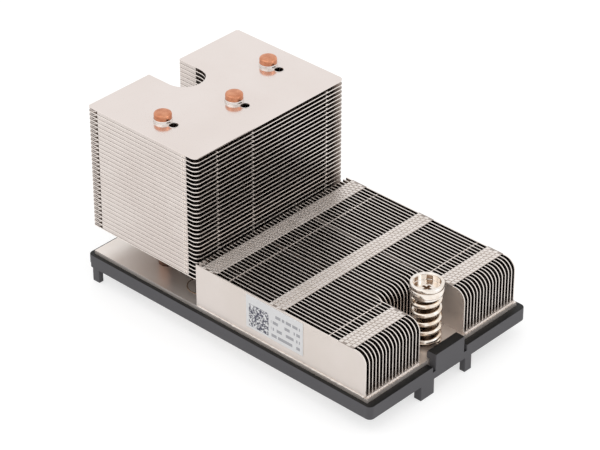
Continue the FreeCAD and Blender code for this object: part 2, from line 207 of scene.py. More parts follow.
def placeObject(name, mesh, material, body="heatsink", slot="plated_fins", shaded=None):
    mesh.materials.append(material)
    if shaded:
        shadeFaces(mesh, *shaded)
    item = linkObject(name, mesh)
    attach(item, body)
    return item


def meshObject(name, points, quads, *look, smooth=False, **extra):
    # Puts whole arrays into one mesh, closes seams and poles, and turns a shell outwards.
    points = np.asarray(points, float).reshape(-1, 3)
    mesh = bpy.data.meshes.new(name)
    mesh.vertices.add(len(points))
    mesh.vertices.foreach_set("co", points.ravel())
    mesh.loops.add(quads.size)
    mesh.loops.foreach_set("vertex_index", quads.ravel().astype(np.int32))
    mesh.polygons.add(len(quads))
    mesh.polygons.foreach_set("loop_start", np.arange(0, quads.size, 4, dtype=np.int32))
    mesh.update(calc_edges=True)
    work = bmesh.new()
    work.from_mesh(mesh)
    bmesh.ops.remove_doubles(work, verts=work.verts, dist=weldReach)
    bmesh.ops.dissolve_degenerate(work, edges=work.edges, dist=nilLength)
    if work.calc_volume(signed=True) < 0:
        bmesh.ops.reverse_faces(work, faces=work.faces)
    work.to_mesh(mesh)
    work.free()
    mesh.polygons.foreach_set("use_smooth", np.full(len(mesh.polygons), smooth))
    return placeObject(name, mesh, *look, **extra)


def shadeFaces(mesh, material, test):
    # Gives one more material to the faces whose centre and normal pass the test.
    count = len(mesh.polygons)
    centre, normal = np.zeros(3 * count), np.zeros(3 * count)
    mesh.polygons.foreach_get("center", centre)
    mesh.polygons.foreach_get("normal", normal)
    chosen = np.zeros(count, np.int32)
    mesh.polygons.foreach_get("material_index", chosen)
    chosen[test(centre.reshape(-1, 3), normal.reshape(-1, 3))] = len(mesh.materials)
    mesh.materials.append(material)
    mesh.polygons.foreach_set("material_index", chosen)


def sheetObject(name, loops, levels, thick, *look, **extra):
    # Level sheets: one filled outline with holes, given a thickness and repeated at each level.
    flat = np.concatenate([np.asarray(loop, float) for loop in loops])
    sizes = [len(loop) for loop in loops]
    filled = np.array(tessellate_polygon([[Vector((x, y, 0)) for x, y in loop] for loop in loops]))
    first, second, third = (flat[filled[:, k]] for k in range(3))
    turned = np.cross(second - first, third - first) < 0
    filled[turned] = filled[turned][:, ::-1]
    count = len(flat)
    walls = []
    for start, size in zip(np.cumsum([0] + sizes[:-1]), sizes):
        here = start + np.arange(size)
        there = start + (np.arange(size) + 1) % size
        loop = flat[start:start + size]
        area = np.sum(loop[:, 0] * np.roll(loop[:, 1], -1) - np.roll(loop[:, 0], -1) * loop[:, 1])
        if (area > 0) != (start == 0):
            here, there = there, here
        walls.append(np.stack([here, there, there + count, here + count], -1))
    walls = np.concatenate(walls)
    low = np.concatenate([flat, np.zeros((count, 1))], 1)
    high = low + (0, 0, thick)
    sheet = np.concatenate([low, high])
    points = sheet[None] + np.multiply.outer(levels, (0.0, 0.0, 1.0))[:, None, :]
    shift = 2 * count * np.arange(len(levels))[:, None, None]
    threes = np.concatenate([filled[:, ::-1], filled + count])[None] + shift
    fours = walls[None] + shift
    mesh = bpy.data.meshes.new(name)
    mesh.from_pydata(points.reshape(-1, 3).tolist(), [],
                     threes.reshape(-1, 3).tolist() + fours.reshape(-1, 4).tolist())
    return placeObject(name, mesh, *look, **extra)


def sweptPoints(radius, height, place):
    # Rings about the upright axis at place, from a radius and a height for each row and turn.
    turn = np.linspace(0, 2 * np.pi, radius.shape[1], endpoint=False)
    return np.stack([radius * np.cos(turn), radius * np.sin(turn), height], axis=-1) + np.asarray(place)


def profileRows(profile, around):
    # The radius and the height of each profile pair, repeated round the axis.
    pairs = np.asarray(profile, float)
    return np.repeat(pairs[:, :1], around, axis=1), np.repeat(pairs[:, 1:], around, axis=1)


def turnedPoints(profile, around, place):
    # Revolution: each profile pair (radius, height) sweeps a circle about the upright axis.
    return sweptPoints(*profileRows(profile, around), place)


def blockPoints(low, high):
    # Eight corners for each pair of lowest and highest corners.
    low, high = np.atleast_2d(low).astype(float), np.atleast_2d(high).astype(float)
    share = np.array([[0, 0, 0], [1, 0, 0], [1, 1, 0], [0, 1, 0], [0, 0, 1], [1, 0, 1], [1, 1, 1], [0, 1, 1]])
    return low[:, None, :] + (high - low)[:, None, :] * share


def spanBlocks(*spans):
    # Blocks from their ends along X, Y and Z, each a number or one value for each block.
    ends = np.broadcast_arrays(*spans)
    return blockPoints(np.stack(ends[0::2], -1), np.stack(ends[1::2], -1))


blockFaces = np.array([[0, 3, 2, 1], [4, 5, 6, 7], [0, 1, 5, 4], [1, 2, 6, 5], [2, 3, 7, 6], [3, 0, 4, 7]])


def repeatFaces(faces, pointsEach, count):
    # The same faces for each of count parts, whose points follow one another.
    return (faces[None] + pointsEach * np.arange(count)[:, None, None]).reshape(-1, 4)


def blockObject(name, blocks, *look, **extra):
    return meshObject(name, blocks, repeatFaces(blockFaces, 8, len(blocks)), *look, **extra)


def stripFaces(points, caps):
    # Faces of many like strips: their points go by strip, station and corner, and the caps of the
    # first station close the last one too.
    count, stations, corners = points.shape[:3]
    ends = np.concatenate([caps, np.array(caps)[:, ::-1] + corners * (stations - 1)])
    skin = np.concatenate([gridFaces(stations, corners, False, True), ends])
    return repeatFaces(skin, corners * stations, count)


def tubeObject(name, rings, closed, *look, smooth=True, **extra):
    # Rows of points, each row a ring; a closed tube also joins its last ring to the first.
    return meshObject(name, rings, gridFaces(*rings.shape[:2], closed, True), *look,
                      smooth=smooth, **extra)


def column(name):
    # A node's box as an upright column: its middle in plan, half its width, its foot and its top.
    low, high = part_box(name)
    return (low[0] + high[0]) / 2, (low[1] + high[1]) / 2, (high[0] - low[0]) / 2, low[2], high[2]


def arcPairs(centre, radius, begin, end, steps):
    # Pairs along an arc, centre + radius * (cos, sin), with its two turns in degrees.
    turn = np.radians(np.linspace(begin, end, steps))
    return np.stack([centre[0] + radius * np.cos(turn), centre[1] + radius * np.sin(turn)], axis=-1).tolist()


def colorMix(tree, first, second):
    # Two colours to mix: the factor is input 0 and the result is output 2.
    mix = addNode(tree, "ShaderNodeMix", data_type="RGBA")
    mix.inputs[6].default_value = (*first, 1)
    mix.inputs[7].default_value = (*second, 1)
    return mix


def spanNode(tree, start, end, low=0.0, high=1.0):
    # Carries the span from start to end onto the span from low to high.
    return addNode(tree, "ShaderNodeMapRange", **{
        "From Min": start, "From Max": end, "To Min": low, "To Max": high})


def addGrain(tree, shader, source, rough, strength, deep):
    # Fine grain that goes through the roughness node and a bump.
    bump = addNode(tree, "ShaderNodeBump", Strength=strength, Distance=deep)
    joinSockets(
        tree,
        (source, rough.inputs["Value"]),
        (rough.outputs[0], shader.inputs["Roughness"]),
        (source, bump.inputs["Height"]),
        (bump.outputs[0], shader.inputs["Normal"]))


def plateBloomGroup():
    # Slow clouds of tone and fine grain that a plated sheet shows.
    group = bpy.data.node_groups.new("plateBloom", "ShaderNodeTree")
    for label, way, kind in (("Cloud Scale", "INPUT", "Float"), ("Grain Scale", "INPUT", "Float"),
                             ("Grain Stretch", "INPUT", "Vector"), ("Cloud", "OUTPUT", "Float"),
                             ("Grain", "OUTPUT", "Float")):
        group.interface.new_socket(label, in_out=way, socket_type="NodeSocket" + kind)
    start, end = addNode(group, "NodeGroupInput"), addNode(group, "NodeGroupOutput")
    coords = addNode(group, "ShaderNodeTexCoord")
    cloud = addNode(group, "ShaderNodeTexNoise", Detail=3.0, Roughness=0.55)
    stretch = addNode(group, "ShaderNodeVectorMath", operation="MULTIPLY")
    grain = addNode(group, "ShaderNodeTexNoise", Detail=2.0, Roughness=0.6)
    joinSockets(
        group,
        (coords.outputs["Object"], cloud.inputs["Vector"]),
        (start.outputs["Cloud Scale"], cloud.inputs["Scale"]),
        (coords.outputs["Object"], stretch.inputs[0]),
        (start.outputs["Grain Stretch"], stretch.inputs[1]),
        (stretch.outputs[0], grain.inputs["Vector"]),
        (start.outputs["Grain Scale"], grain.inputs["Scale"]),
        (cloud.outputs[0], end.inputs["Cloud"]),
        (grain.outputs[0], end.inputs["Grain"]))
    return group


plateBloom = plateBloomGroup()


metalCommon = {
    "metallic": 1.0, "cloud": 45.0, "cloudSpan": (0.35, 0.65), "grain": 2200.0,
    "stretch": (1.0, 1.0, 1.0), "grainSpan": (0.3, 0.7), "bump": 0.0, "bumpDeep": 0.1 * mm,
}


def metalMaterial(name, settings):
    # A plated metal: two tones mixed by slow clouds, with grain in its roughness and bump.
    material, tree, shader = newMaterial(name)
    shader.inputs["Metallic"].default_value = settings["metallic"]
    bloom = addNode(tree, "ShaderNodeGroup", node_tree=plateBloom, **{
        "Cloud Scale": settings["cloud"], "Grain Scale": settings["grain"],
        "Grain Stretch": settings["stretch"]})
    cloud = spanNode(tree, *settings["cloudSpan"])
    tone = colorMix(tree, *settings["tones"])
    middle, spread = settings["rough"]
    rough = spanNode(tree, *settings["grainSpan"], middle - spread, middle + spread)
    addGrain(tree, shader, bloom.outputs["Grain"], rough, settings["bump"], settings["bumpDeep"])
    joinSockets(
        tree,
        (bloom.outputs["Cloud"], cloud.inputs["Value"]),
        (cloud.outputs[0], tone.inputs[0]),
        (tone.outputs[2], shader.inputs["Base Color"]))
    return material


# Each finish has two tones, and its roughness is a middle with a spread to either side.
metals = {
    "nickelEdge": {"tones": ((0.97, 0.89, 0.83), (0.90, 0.82, 0.76)), "rough": (0.34, 0.05),
                   "metallic": 0.65, "stretch": (0.15, 0.15, 1.0), "bump": 0.08},
    "nickelFold": {"tones": ((0.77, 0.70, 0.66), (0.71, 0.63, 0.59)), "rough": (0.40, 0.06),
                   "metallic": 0.7, "grain": 2000.0, "stretch": (0.15, 0.15, 1.0), "bump": 0.10},
    # a darker copy of the nickel, painted shade on the stack's side walls, the bay walls and the solder beads
    "shadedNickel": {"tones": ((0.80, 0.73, 0.69), (0.74, 0.67, 0.62)), "rough": (0.32, 0.01),
                   "metallic": 0.7, "cloud": 35.0, "stretch": (0.12, 1.0, 1.0)},
    "sheetShade": {"tones": ((0.40, 0.35, 0.32), (0.34, 0.29, 0.26)), "rough": (0.30, 0.06),
                   "stretch": (0.15, 0.15, 1.0), "bump": 0.08},
    "nickelTop": {"tones": ((0.83, 0.755, 0.72), (0.79, 0.71, 0.67)), "rough": (0.15, 0.02),
                  "metallic": 0.85, "cloud": 30.0, "grain": 2600.0, "stretch": (1.0, 0.1, 1.0)},
    "nickelTabs": {"tones": ((0.88, 0.82, 0.78), (0.80, 0.74, 0.69)), "rough": (0.38, 0.01),
                   "metallic": 0.75, "cloud": 300.0, "grain": 1500.0},
    "tabShade": {"tones": ((0.42, 0.37, 0.34), (0.36, 0.31, 0.28)), "rough": (0.40, 0.01),
                 "cloud": 300.0, "grain": 1500.0},
    "nickelBase": {"tones": ((0.95, 0.88, 0.83), (0.86, 0.77, 0.70)), "rough": (0.32, 0.01),
                   "metallic": 0.7, "cloud": 60.0, "grain": 1500.0, "stretch": (1.0, 0.3, 1.0)},
    "copperPipe": {"tones": ((0.74, 0.34, 0.20), (0.56, 0.22, 0.12)), "rough": (0.26, 0.07),
                   "cloud": 420.0, "grain": 2400.0, "stretch": (1.0, 1.0, 0.2), "bump": 0.15},
    "tinCollar": {"tones": ((0.90, 0.87, 0.84), (0.76, 0.72, 0.69)), "rough": (0.18, 0.06),
                  "cloud": 400.0, "grain": 2600.0, "bump": 0.10},
    # a darker copy of the pipe copper, painted shade inside the fin stack
    "shadedCopper": {"tones": ((0.42, 0.26, 0.19), (0.34, 0.20, 0.14)), "rough": (0.42, 0.07),
                   "cloud": 300.0, "grain": 2400.0, "stretch": (1.0, 1.0, 0.2), "bump": 0.10},
    "bronzeShade": {"tones": ((0.40, 0.28, 0.20), (0.26, 0.17, 0.11)), "rough": (0.35, 0.05),
                    "cloud": 500.0, "grain": 2600.0, "bump": 0.06},
    "screwNickel": {"tones": ((0.94, 0.90, 0.86), (0.82, 0.73, 0.64)), "rough": (0.17, 0.05),
                    "cloud": 420.0, "grain": 2600.0, "stretch": (1.0, 1.0, 0.25), "bump": 0.06},
    "springNickel": {"tones": ((0.92, 0.86, 0.79), (0.78, 0.64, 0.51)), "rough": (0.16, 0.04),
                     "cloud": 420.0, "grain": 3200.0, "bump": 0.05},
}
finish = {name: metalMaterial(name, {**metalCommon, **settings}) for name, settings in metals.items()}

plastic = {
    "color": (0.098, 0.096, 0.104), "cloudColor": (0.120, 0.117, 0.125), "cloudScale": 55.0,
    # the near black of the top colour is painted shade on faces that look up
    "paintedTopShade": (0.006, 0.006, 0.006), "topSpan": (0.55, 0.85), "specular": 0.28,
    "roughSpan": (0.38, 0.58), "sparkScale": 2600.0, "sparkBump": 0.35, "sparkDeep": 0.06 * mm,
}


def plasticMaterial(settings):
    # Moulded black plastic with a fine spark-eroded grain, and painted shade on the faces that look up.
    material, tree, shader = newMaterial("framePlastic")
    shader.inputs["Specular IOR Level"].default_value = settings["specular"]
    coords = addNode(tree, "ShaderNodeTexCoord")
    grain = addNode(tree, "ShaderNodeTexNoise", Scale=settings["sparkScale"], Detail=3.0, Roughness=0.6)
    cloud = addNode(tree, "ShaderNodeTexNoise", Scale=settings["cloudScale"], Detail=2.0)
    tone = colorMix(tree, settings["color"], settings["cloudColor"])
    rough = spanNode(tree, 0.0, 1.0, *settings["roughSpan"])
    addGrain(tree, shader, grain.outputs[0], rough, settings["sparkBump"], settings["sparkDeep"])
    # painted shade: faces that look up are made nearly black while the walls keep a lighter grey, standing in
    # for how the light falls on them
    facing = addNode(tree, "ShaderNodeSeparateXYZ")
    level = spanNode(tree, *settings["topSpan"])
    topShaded = colorMix(tree, settings["color"], settings["paintedTopShade"])
    joinSockets(
        tree,
        (coords.outputs["Object"], grain.inputs["Vector"]),
        (coords.outputs["Object"], cloud.inputs["Vector"]),
        (cloud.outputs[0], tone.inputs[0]),
        (coords.outputs["Normal"], facing.inputs[0]),
        (facing.outputs["Z"], level.inputs["Value"]),
        (level.outputs[0], topShaded.inputs[0]),
        (tone.outputs[2], topShaded.inputs[6]),
        (topShaded.outputs[2], shader.inputs["Base Color"]))
    return material


finish["framePlastic"] = plasticMaterial(plastic)

# Places and sizes on the label are in mm.
labelSheet = {
    "paper": (0.97, 0.97, 0.98), "ink": (0.10, 0.10, 0.14), "roughness": 0.55, "cell": 0.42,
    "cellShare": 0.5, "code": (10.2, 18.6, 9.9, 18.2), "lines": (19.6, 31.8, 10.3, 19.9),
    "linePitch": 2.45, "lineShare": 0.45, "dash": 0.55, "dashShare": 0.38, "dashInk": 0.55,
}


def joinMath(tree, operation, first, second=0.0):
    node = addNode(tree, "ShaderNodeMath", operation=operation)
    for socket, part in zip(node.inputs, (first, second)):
        if isinstance(part, (int, float)):
            socket.default_value = part
        else:
            tree.links.new(part, socket)
    return node.outputs[0]


def rangeMask(tree, source, low, high):
    # 1 where the value lies between low and high.
    return joinMath(tree, "MULTIPLY", joinMath(tree, "GREATER_THAN", source, low),
                    joinMath(tree, "LESS_THAN", source, high))


def labelMaterial(settings):
    # White paper with a block of random cells and rows of random dashes, in the sheet's own plane.
    material, tree, shader = newMaterial("labelPaper")
    shader.inputs["Roughness"].default_value = settings["roughness"]
    coords = addNode(tree, "ShaderNodeTexCoord")
    split = addNode(tree, "ShaderNodeSeparateXYZ")
    across = joinMath(tree, "MULTIPLY", split.outputs["X"], 1 / mm)
    up = joinMath(tree, "MULTIPLY", split.outputs["Z"], 1 / mm)
    pitch = settings["linePitch"]

    def cells(width, height):
        # A random value for each cell of width by height.
        place = addNode(tree, "ShaderNodeCombineXYZ")
        noise = addNode(tree, "ShaderNodeTexWhiteNoise", noise_dimensions="2D")
        joinSockets(tree,
                    (joinMath(tree, "FLOOR", joinMath(tree, "DIVIDE", across, width)), place.inputs[0]),
                    (joinMath(tree, "FLOOR", joinMath(tree, "DIVIDE", up, height)), place.inputs[1]),
                    (place.outputs[0], noise.inputs["Vector"]))
        return noise.outputs["Value"]

    def field(left, right, low, high):
        # 1 inside a rectangle.
        return joinMath(tree, "MULTIPLY", rangeMask(tree, across, left, right),
                        rangeMask(tree, up, low, high))

    filled = joinMath(tree, "GREATER_THAN", cells(settings["cell"], settings["cell"]), settings["cellShare"])
    block = joinMath(tree, "MULTIPLY", field(*settings["code"]), filled)
    above = joinMath(tree, "SUBTRACT", up, settings["lines"][2])
    phase = joinMath(tree, "FRACT", joinMath(tree, "DIVIDE", above, pitch))
    rows = joinMath(tree, "MULTIPLY", field(*settings["lines"]),
                    joinMath(tree, "LESS_THAN", phase, settings["lineShare"]))
    dashes = joinMath(tree, "GREATER_THAN", cells(settings["dash"], pitch), settings["dashShare"])
    rows = joinMath(tree, "MULTIPLY", rows, dashes)
    ink = joinMath(tree, "MAXIMUM", block, joinMath(tree, "MULTIPLY", rows, settings["dashInk"]))
    tone = colorMix(tree, settings["paper"], settings["ink"])
    joinSockets(
        tree,
        (coords.outputs["Object"], split.inputs[0]),
        (ink, tone.inputs[0]),
        (tone.outputs[2], shader.inputs["Base Color"]))
    return material


finish["labelPaper"] = labelMaterial(labelSheet)


def dress(name, material):
    mesh = nodes[name].data
    mesh.materials.clear()
    mesh.materials.append(material)


dress("base_plate", finish["nickelBase"])
dress("label", finish["labelPaper"])
for end in ("front", "rear"):
    dress(end + "_clip", finish["screwNickel"])
print("stage: materials")


moulding = {"edge": 0.32 * mm, "segments": 2, "sharp": 35.0, "flat": 1.0}


def addFrame(settings):
    # The frame's own faces, with its outward edges slightly rounded.
    node = nodes["retention_frame"]
    work = bmesh.new()
    work.from_mesh(node.data)
    work.transform(node.matrix_world)
    bmesh.ops.remove_doubles(work, verts=work.verts, dist=weldReach)
    bmesh.ops.dissolve_limit(work, angle_limit=np.radians(settings["flat"]),
                             verts=work.verts, edges=work.edges)
    sharp = np.radians(settings["sharp"])
    edges = [edge for edge in work.edges if edge.is_manifold and edge.calc_face_angle_signed() > sharp]
    bmesh.ops.bevel(work, geom=edges, offset=settings["edge"], offset_type="OFFSET",
                    segments=settings["segments"], profile=0.5, affect="EDGES", clamp_overlap=True)
    bmesh.ops.dissolve_degenerate(work, edges=work.edges, dist=nilLength)
    mesh = bpy.data.meshes.new("retentionFrame")
    work.to_mesh(mesh)
    work.free()
    frameObject = placeObject("retentionFrame", mesh, finish["framePlastic"], "heatsink", "frame_plastic")
    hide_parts("retention_frame")


addFrame(moulding)
print("stage: frame")


pipe = {
    "tipRound": 0.65 * mm, "tipTurn": 80, "tipSteps": 8, "crown": 0.12 * mm,
    "crownSteps": (0.8, 0.5, 0.2, 0.0), "around": 72, "shadeDrop": 0.5 * mm, "collarTall": 0.95 * mm,
    "collarWide": 0.14 * mm, "collarGap": 0.02 * mm, "collarLip": 0.97,
    # the collar's outer side, in shares of its width and height
    "collarSection": ((1.7, 0.0), (1.3, 0.10), (1.0, 0.25), (1.0, 0.88), (0.6, 1.0)),
}


def addPipe(number, settings):
    # A rod and its collar, each a profile turned about the pipe's own axis.
    node = "heat_pipe_%d" % number
    middleX, middleY, radius, low, high = column(node)
    place = (middleX, middleY, 0.0)
    tip, crown = settings["tipRound"], settings["crown"]
    shadeTop = towerHigh[2] - settings["shadeDrop"]
    # profile: straight wall, most of a quarter circle at the edge, then a faint crown over the closed end
    profile = [(0, low), (radius, low), (radius, shadeTop), (radius, high - crown - tip)]
    profile += arcPairs((radius - tip, high - crown - tip), tip,
                        0, settings["tipTurn"], settings["tipSteps"])
    profile += [((radius - tip) * share, high - crown * share ** 2) for share in settings["crownSteps"]]
    around = settings["around"]
    # below the top sheet, inside the fin stack, the rod takes the darker copper: painted shade between the
    # sheets
    rod = tubeObject("heatPipe%d" % number, turnedPoints(profile, around, place), False,
                     finish["copperPipe"], "heatsink", "pipe_copper",
                     shaded=(finish["shadedCopper"], lambda centre, normal: centre[:, 2] < shadeTop))
    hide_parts(node)
    # collar: a narrow drawn ring that stands on the top sheet, with a small root fillet
    foot = towerHigh[2] + hairline
    wall, tall = settings["collarWide"], settings["collarTall"]
    inner = radius + settings["collarGap"]
    ring = [(radius + wall * out, foot + tall * up) for out, up in settings["collarSection"]]
    ring = [(inner, foot)] + ring + [(inner, foot + tall * settings["collarLip"])]
    tubeObject("pipeCollar%d" % number, turnedPoints(ring, around, place), True, finish["tinCollar"])


for number in (1, 2, 3):
    addPipe(number, pipe)
print("stage: heat pipes")


spring = {
    "reach": 5.0 * mm, "wire": 1.72 * mm, "active": 4.7, "flat": 0.5, "aroundWire": 18,
    "perTurn": 48, "travel": 4.0 * mm,
}


def addSpring(end, settings):
    node = end + "_spring"
    low, high = column(node)[3:]
    centreX, centreY = column(end + "_washer")[:2]
    wire = settings["wire"] / 2
    turns = settings["active"] + 2 * settings["flat"]
    steps = int(turns * settings["perTurn"]) + 1
    # centre line: a circle whose height rises from the lower closed coil to the upper one
    wound = np.linspace(0, turns, steps)
    share = np.clip((wound - settings["flat"]) / settings["active"], 0, 1)
    height = low + wire + (high - low - 2 * wire) * share
    turn = 2 * np.pi * wound
    spin = np.linspace(0, 2 * np.pi, settings["aroundWire"], endpoint=False)
    thick = np.full(steps, wire)
    thick[0] = thick[-1] = 0.0
    radius = settings["reach"] - wire + thick[:, None] * np.cos(spin)
    points = np.stack([centreX + radius * np.cos(turn)[:, None], centreY + radius * np.sin(turn)[:, None],
                       height[:, None] + thick[:, None] * np.sin(spin)], axis=-1)
    coil = tubeObject(end + "SpringCoil", points, False, finish["springNickel"], "heatsink", "spring_wire")
    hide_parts(node)
    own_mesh(coil)


for end in ("front", "rear"):
    addSpring(end, spring)
print("stage: springs")

screw = {
    "shank": 2.9 * mm, "thread": 2.0 * mm, "threadLong": 5.0 * mm, "threadPitch": 0.7 * mm,
    "threadDeep": 0.28 * mm, "threadFlank": (0.15, 0.9), "threadRows": 64, "lead": 0.45 * mm,
    "leadShare": 0.7, "headTall": 3.6 * mm, "rimWall": 1.15 * mm, "rimRound": 0.34 * mm, "rimSteps": 7,
    "underTurn": -60, "underSteps": 5, "grooveDrop": 1.35 * mm, "grooveWide": 0.20 * mm,
    "grooveDeep": 0.14 * mm, "grooveEase": 0.06 * mm, "grooveFloor": 0.4, "cupDeep": 2.3 * mm,
    "cupStart": 0.05 * mm, "cupRows": 9, "floorRings": 42, "notches": 6, "notchDeep": 0.42 * mm,
    "notchDrop": 0.55 * mm, "notchEase": 0.25 * mm, "notchSpan": (0.1, 0.45), "crossLong": 3.4 * mm,
    "crossWide": 0.95 * mm, "crossDeep": 0.85 * mm, "crossSoft": 0.16 * mm, "around": 120,
    "shadeReach": 0.8, "shadeFloor": 0.12 * mm, "shadeWall": 0.22 * mm, "shadeGap": 0.1 * mm,
}
washer = {"bore": 3.2 * mm, "edge": 0.22 * mm, "around": 96}


def softStep(values, low, high):
    # From 0 at low to 1 at high as share * share * (3 - 2 * share).
    share = np.clip((values - low) / (high - low), 0, 1)
    return share * share * (3 - 2 * share)


def addScrew(end, settings):
    # One profile turned about the axis: from the tip up the thread and the shank, round the head's
    # rim with its groove, and down inside to the middle of the cup's floor.
    node = end + "_screw"
    centreX, centreY, head, tip, top = column(node)
    under = top - settings["headTall"]
    shoulder = tip + settings["threadLong"]
    shank, thread, lead = settings["shank"], settings["thread"], settings["lead"]
    edge = settings["rimRound"]
    inner = head - settings["rimWall"]
    cupFloor = top - settings["cupDeep"]
    groove = top - settings["grooveDrop"]
    half, deep, ease = settings["grooveWide"] / 2, settings["grooveDeep"], settings["grooveEase"]
    floor, steps = half * settings["grooveFloor"], settings["rimSteps"]
    threadRows = np.linspace(tip + lead, shoulder, settings["threadRows"])
    profile = [(0.0, tip), (thread - lead * settings["leadShare"], tip)] + [(thread, z) for z in threadRows]
    profile += [(shank, shoulder), (shank, under), (head - 0.5 * edge, under)]
    profile += arcPairs((head - edge, under + edge), edge, settings["underTurn"], 0, settings["underSteps"])
    profile += [(head, groove - half - ease), (head - ease, groove - half),
                (head - deep, groove - floor), (head - deep, groove + floor),
                (head - ease, groove + half), (head, groove + half + ease)]
    profile += arcPairs((head - edge, top - edge), edge, 0, 90, steps)
    profile += arcPairs((inner + edge, top - edge), edge, 90, 180, steps)
    wallStart = len(profile)
    cupTop = top - edge - settings["cupStart"]
    profile += [(inner, z) for z in np.linspace(cupTop, cupFloor, settings["cupRows"])]
    floorStart = len(profile)
    profile += [(r, cupFloor) for r in np.linspace(inner, 0.0, settings["floorRings"])[1:]]
    turn = np.linspace(0, 2 * np.pi, settings["around"], endpoint=False)
    radius, height = profileRows(profile, settings["around"])
    # thread: the radius falls towards a root where height over pitch less the turn is a half
    rows = slice(2, 2 + len(threadRows))
    phase = (height[rows] / settings["threadPitch"] - turn / (2 * np.pi)) % 1.0
    radius[rows] -= settings["threadDeep"] * softStep(1 - np.abs(2 * phase - 1), *settings["threadFlank"])
    # wall pockets: the cup widens below the rim where the cosine of six turns is high
    rows = slice(wallStart, floorStart)
    drop = softStep(top - height[rows], settings["notchDrop"], settings["notchDrop"] + settings["notchEase"])
    pockets = softStep(np.cos(settings["notches"] * turn), *settings["notchSpan"])
    radius[rows] += settings["notchDeep"] * drop * pockets
    # cross recess: the floor sinks where either of two crossed bars covers it
    spot = radius[floorStart:]
    across, along = spot * np.cos(turn), spot * np.sin(turn)
    long, wide, soft = settings["crossLong"] / 2, settings["crossWide"] / 2, settings["crossSoft"]
    bars = [softStep(long - np.abs(a), 0, soft) * softStep(wide - np.abs(b), -soft / 2, soft)
            for a, b in ((across, along), (along, across))]
    height[floorStart:] -= settings["crossDeep"] * np.maximum(bars[0], bars[1])

    def recessed(centre, normal):
        # The cross recess and the wall pockets.
        reach = np.hypot(centre[:, 0] - centreX, centre[:, 1] - centreY)
        level = centre[:, 2]
        sunk = (reach < inner * settings["shadeReach"]) & (level > shoulder) & (
            level < cupFloor - settings["shadeFloor"])
        pocket = (reach > inner + settings["shadeWall"]) & (reach < head - settings["shadeGap"]) & (
            level < top - edge) & (level > cupFloor + settings["shadeGap"])
        return sunk | pocket

    body = tubeObject(end + "CaptiveScrew", sweptPoints(radius, height, (centreX, centreY, 0.0)), False,
                      finish["screwNickel"], end + "_screw_turn", "screw_nickel",
                      shaded=(finish["bronzeShade"], recessed))
    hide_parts(node)


def addWasher(end, settings):
    # An oblong section with bevelled corners, turned about the axis.
    node = end + "_washer"
    middleX, middleY, outer, low, high = column(node)
    bore, edge = settings["bore"], settings["edge"]
    ring = [(bore, low + edge), (bore + edge, low), (outer - edge, low), (outer, low + edge),
            (outer, high - edge), (outer - edge, high), (bore + edge, high), (bore, high - edge)]
    rings = turnedPoints(ring, settings["around"], (middleX, middleY, 0.0))
    disc = tubeObject(end + "SpringWasher", rings, True, finish["screwNickel"],
                      end + "_washer_slide", "screw_nickel", smooth=False)
    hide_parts(node)


for end in ("front", "rear"):
    addScrew(end, screw)
    addWasher(end, washer)
print("stage: captive screws")


tower = {
    "sheet": 0.35 * mm, "bevel": 0.7 * mm, "round": 2.1 * mm, "roundSteps": 9, "notch": 6.9 * mm,
    "notchX": -52.07 * mm, "notchSteps": 28, "holeSteps": 28, "keyReach": 4.75 * mm,
    "keyRadius": 1.5 * mm, "keyTurn": 160, "keySteps": 20, "keyTail": 0.28 * mm, "keyNear": 0.42 * mm,
    "burr": 0.20 * mm, "burrTurn": 150, "burrSteps": 41, "foldLeft": 4.4 * mm, "foldRight": 4.2 * mm,
    "foldThick": 0.30 * mm, "foldBend": 0.34 * mm, "foldStep": 0.07 * mm, "foldToe": 0.35 * mm,
    "foldRoot": 0.1 * mm, "foldGap": 0.05 * mm, "notchInset": 0.1 * mm, "notchEnd": 1.8 * mm,
    "bendShare": 0.3, "stepShare": 0.4, "toeShare": 0.6,
    # the burr's section out from the hole and up, in shares of its size
    "burrSection": ((0.0, 0.0), (1.0, 0.0), (0.5, 0.7), (0.0, 0.4)),
}
sheetTops = np.array([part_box(name)[1][2] for name in finNames])


def towerOutline(settings):
    # The outline goes round the sheet, with quarter circles at two corners and a half circle
    # at the end of the notch.
    left, right = towerLow[0], towerHigh[0]
    back, front = towerLow[1], towerHigh[1]
    cut, bend, notch = settings["bevel"], settings["round"], settings["notch"]
    steps = settings["roundSteps"]
    loop = [(left, back + cut), (left + cut, back)]
    loop += arcPairs((right - bend, back + bend), bend, -90, 0, steps)
    loop += arcPairs((right - bend, front - bend), bend, 0, 90, steps)
    loop += [(left + cut, front), (left, front - cut), (left, notch)]
    loop += arcPairs((settings["notchX"], 0.0), notch, 90, -90, settings["notchSteps"])
    return loop + [(left, -notch)]


def keyLoop(across, along, radius, settings):
    # A round solder hole with a narrow tail towards the pipe.
    tail, turn = settings["keyTail"], settings["keyTurn"]
    arc = arcPairs((across + settings["keyReach"], along), settings["keyRadius"], -turn, turn,
                   settings["keySteps"])
    near = across + radius + settings["keyNear"]
    return [(near, along - tail)] + arc + [(near, along + tail)]


def addFolds(name, side, outerFace, left, right, settings):
    # Folded walls: for each sheet one thin section, carried along X, that bends down from the
    # sheet's edge and ends just above the sheet below, its foot a step further in.
    thick, step, gap = settings["foldThick"], settings["foldStep"], settings["foldGap"]
    bend, soft = settings["foldBend"], settings["foldBend"] * settings["bendShare"]
    lows, tops = sheetTops[:-1], sheetTops[1:]
    under = tops - settings["sheet"]
    across = np.array([thick, bend, soft, 0.0, step * settings["stepShare"], step,
                       step + thick * settings["toeShare"], thick])
    heights = [under, tops, tops - soft, tops - bend, lows + settings["foldToe"],
               lows + gap, lows + gap, under - settings["foldRoot"]]
    points = np.zeros((len(tops), 2, len(across), 3))
    points[..., 0] = np.array([left, right])[None, :, None]
    points[..., 1] = outerFace + side * across
    points[..., 2] = np.stack(heights, -1)[:, None, :]
    caps = [[0, 1, 2, 7], [2, 3, 4, 7], [4, 5, 6, 7]]
    meshObject(name, points, stripFaces(points, caps), finish["nickelFold"])


